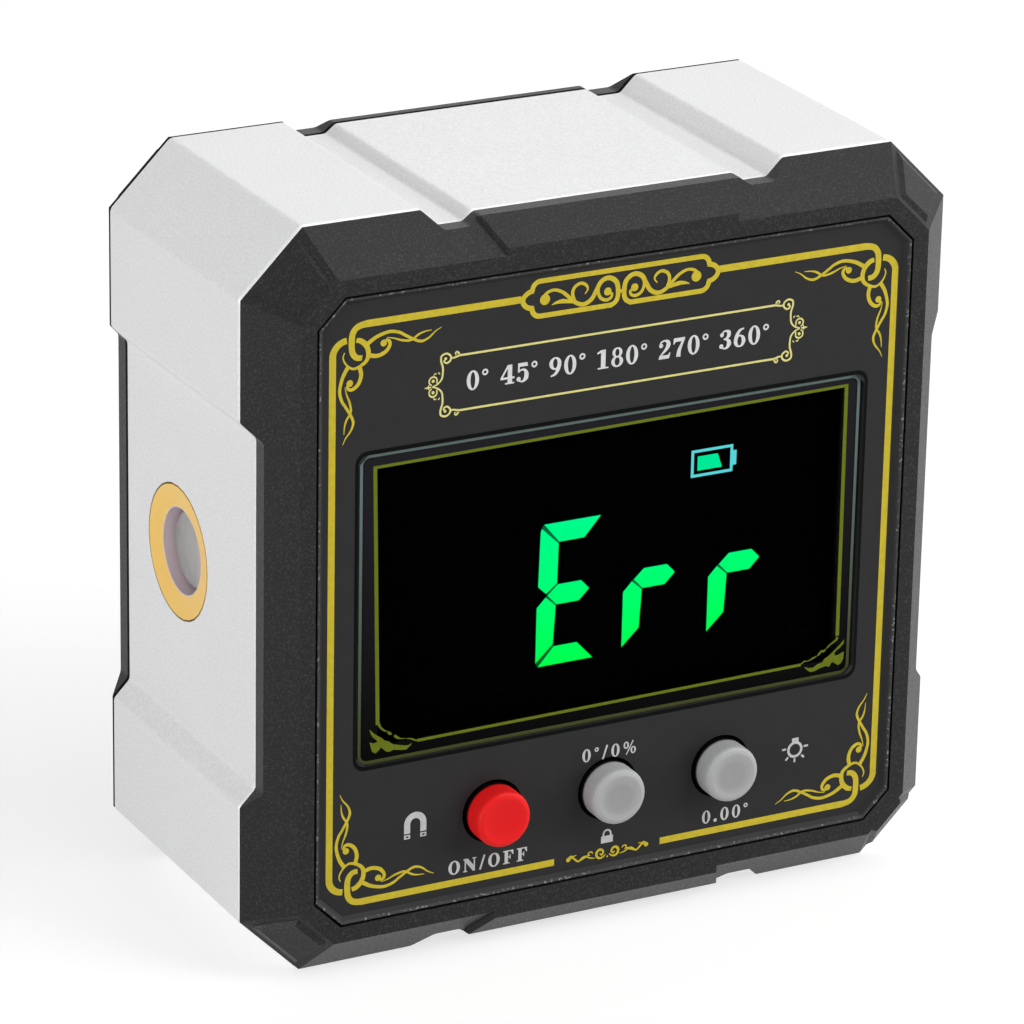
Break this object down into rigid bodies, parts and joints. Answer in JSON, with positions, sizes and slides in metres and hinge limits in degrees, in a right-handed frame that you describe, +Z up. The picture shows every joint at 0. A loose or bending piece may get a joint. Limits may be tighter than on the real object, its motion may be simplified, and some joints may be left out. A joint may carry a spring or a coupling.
{
  "type": "digital angle gauge",
  "caption": "Square digital angle gauge: grooved aluminium frame with magnets, faceted black covers, display behind a clear window, push buttons and a hinged battery door.",
  "frame": {"origin": "middle of the footprint, at the level of the lower pads", "axes": "+Z up, the display faces -Y, the battery door faces +Y"},
  "size_m": [0.06, 0.0322, 0.06],
  "materials": {
    "frame_aluminium": "bead blasted, satin",
    "shell_plastic": "fine moulded texture",
    "panel_paint": "matt, printed",
    "window_plastic": "polished",
    "lcd_glass": "polished",
    "diffuser": "satin",
    "connector_rubber": "soft",
    "holder_plastic": "matt",
    "red_cap": "satin",
    "grey_cap": "satin",
    "switch_plastic": "matt",
    "board": "solder mask",
    "chip": "matt",
    "crystal_can": "satin",
    "screw_steel": "blackened",
    "cell": "printed wrap",
    "contact_metal": "nickel plated",
    "door_plastic": "fine moulded texture",
    "bush_plastic": "satin",
    "magnet": "nickel plated"
  },
  "bodies": {
    "housing": {"frame": "frame_aluminium", "front_bezel": "shell_plastic", "back_cover": "shell_plastic", "front_panel": "panel_paint", "display_window": "window_plastic", "lcd_glass": "lcd_glass", "backlight": "diffuser", "connector_strip": "connector_rubber", "lcd_holder": "holder_plastic", "circuit_board": "board", "controller_chip": "chip", "tilt_sensor": "chip", "buzzer": "chip", "crystal": "crystal_can", "cell_1": "cell", "cell_2": "cell", "link_contact": "contact_metal", "positive_contact": "contact_metal", "negative_contact": "contact_metal", "contact_spring_1": "contact_metal", "contact_spring_2": "contact_metal", "power_switch": "switch_plastic", "hold_switch": "switch_plastic", "zero_switch": "switch_plastic", "cover_screw_1": "screw_steel", "board_screw_1": "screw_steel", "cover_screw_2": "screw_steel", "board_screw_2": "screw_steel", "cover_screw_3": "screw_steel", "board_screw_3": "screw_steel", "cover_screw_4": "screw_steel", "board_screw_4": "screw_steel", "magnet_left": "magnet", "magnet_bush_left": "bush_plastic", "magnet_right": "magnet", "magnet_bush_right": "bush_plastic", "magnet_base": "magnet", "magnet_bush_base": "bush_plastic"},
    "battery_door": {"battery_door": "door_plastic"},
    "power_button": {"power_button": "red_cap", "power_plunger": "switch_plastic"},
    "hold_button": {"hold_button": "grey_cap", "hold_plunger": "switch_plastic"},
    "zero_button": {"zero_button": "grey_cap", "zero_plunger": "switch_plastic"}
  },
  "joints": [
    {"name": "power_press", "type": "slide", "parent": "housing", "child": "power_button", "axis": [0, 1, 0], "range_m": [0, 0.0005], "stiffness_N_per_m": 1500, "springref_m": -0.0004},
    {"name": "hold_press", "type": "slide", "parent": "housing", "child": "hold_button", "axis": [0, 1, 0], "range_m": [0, 0.0005], "stiffness_N_per_m": 1500, "springref_m": -0.0004},
    {"name": "zero_press", "type": "slide", "parent": "housing", "child": "zero_button", "axis": [0, 1, 0], "range_m": [0, 0.0005], "stiffness_N_per_m": 1500, "springref_m": -0.0004},
    {"name": "battery_door_hinge", "type": "hinge", "parent": "housing", "child": "battery_door", "pos_m": [0, 0.01611, 0.0416], "axis": [1, 0, 0], "range_deg": [0, 80]}
  ]
}
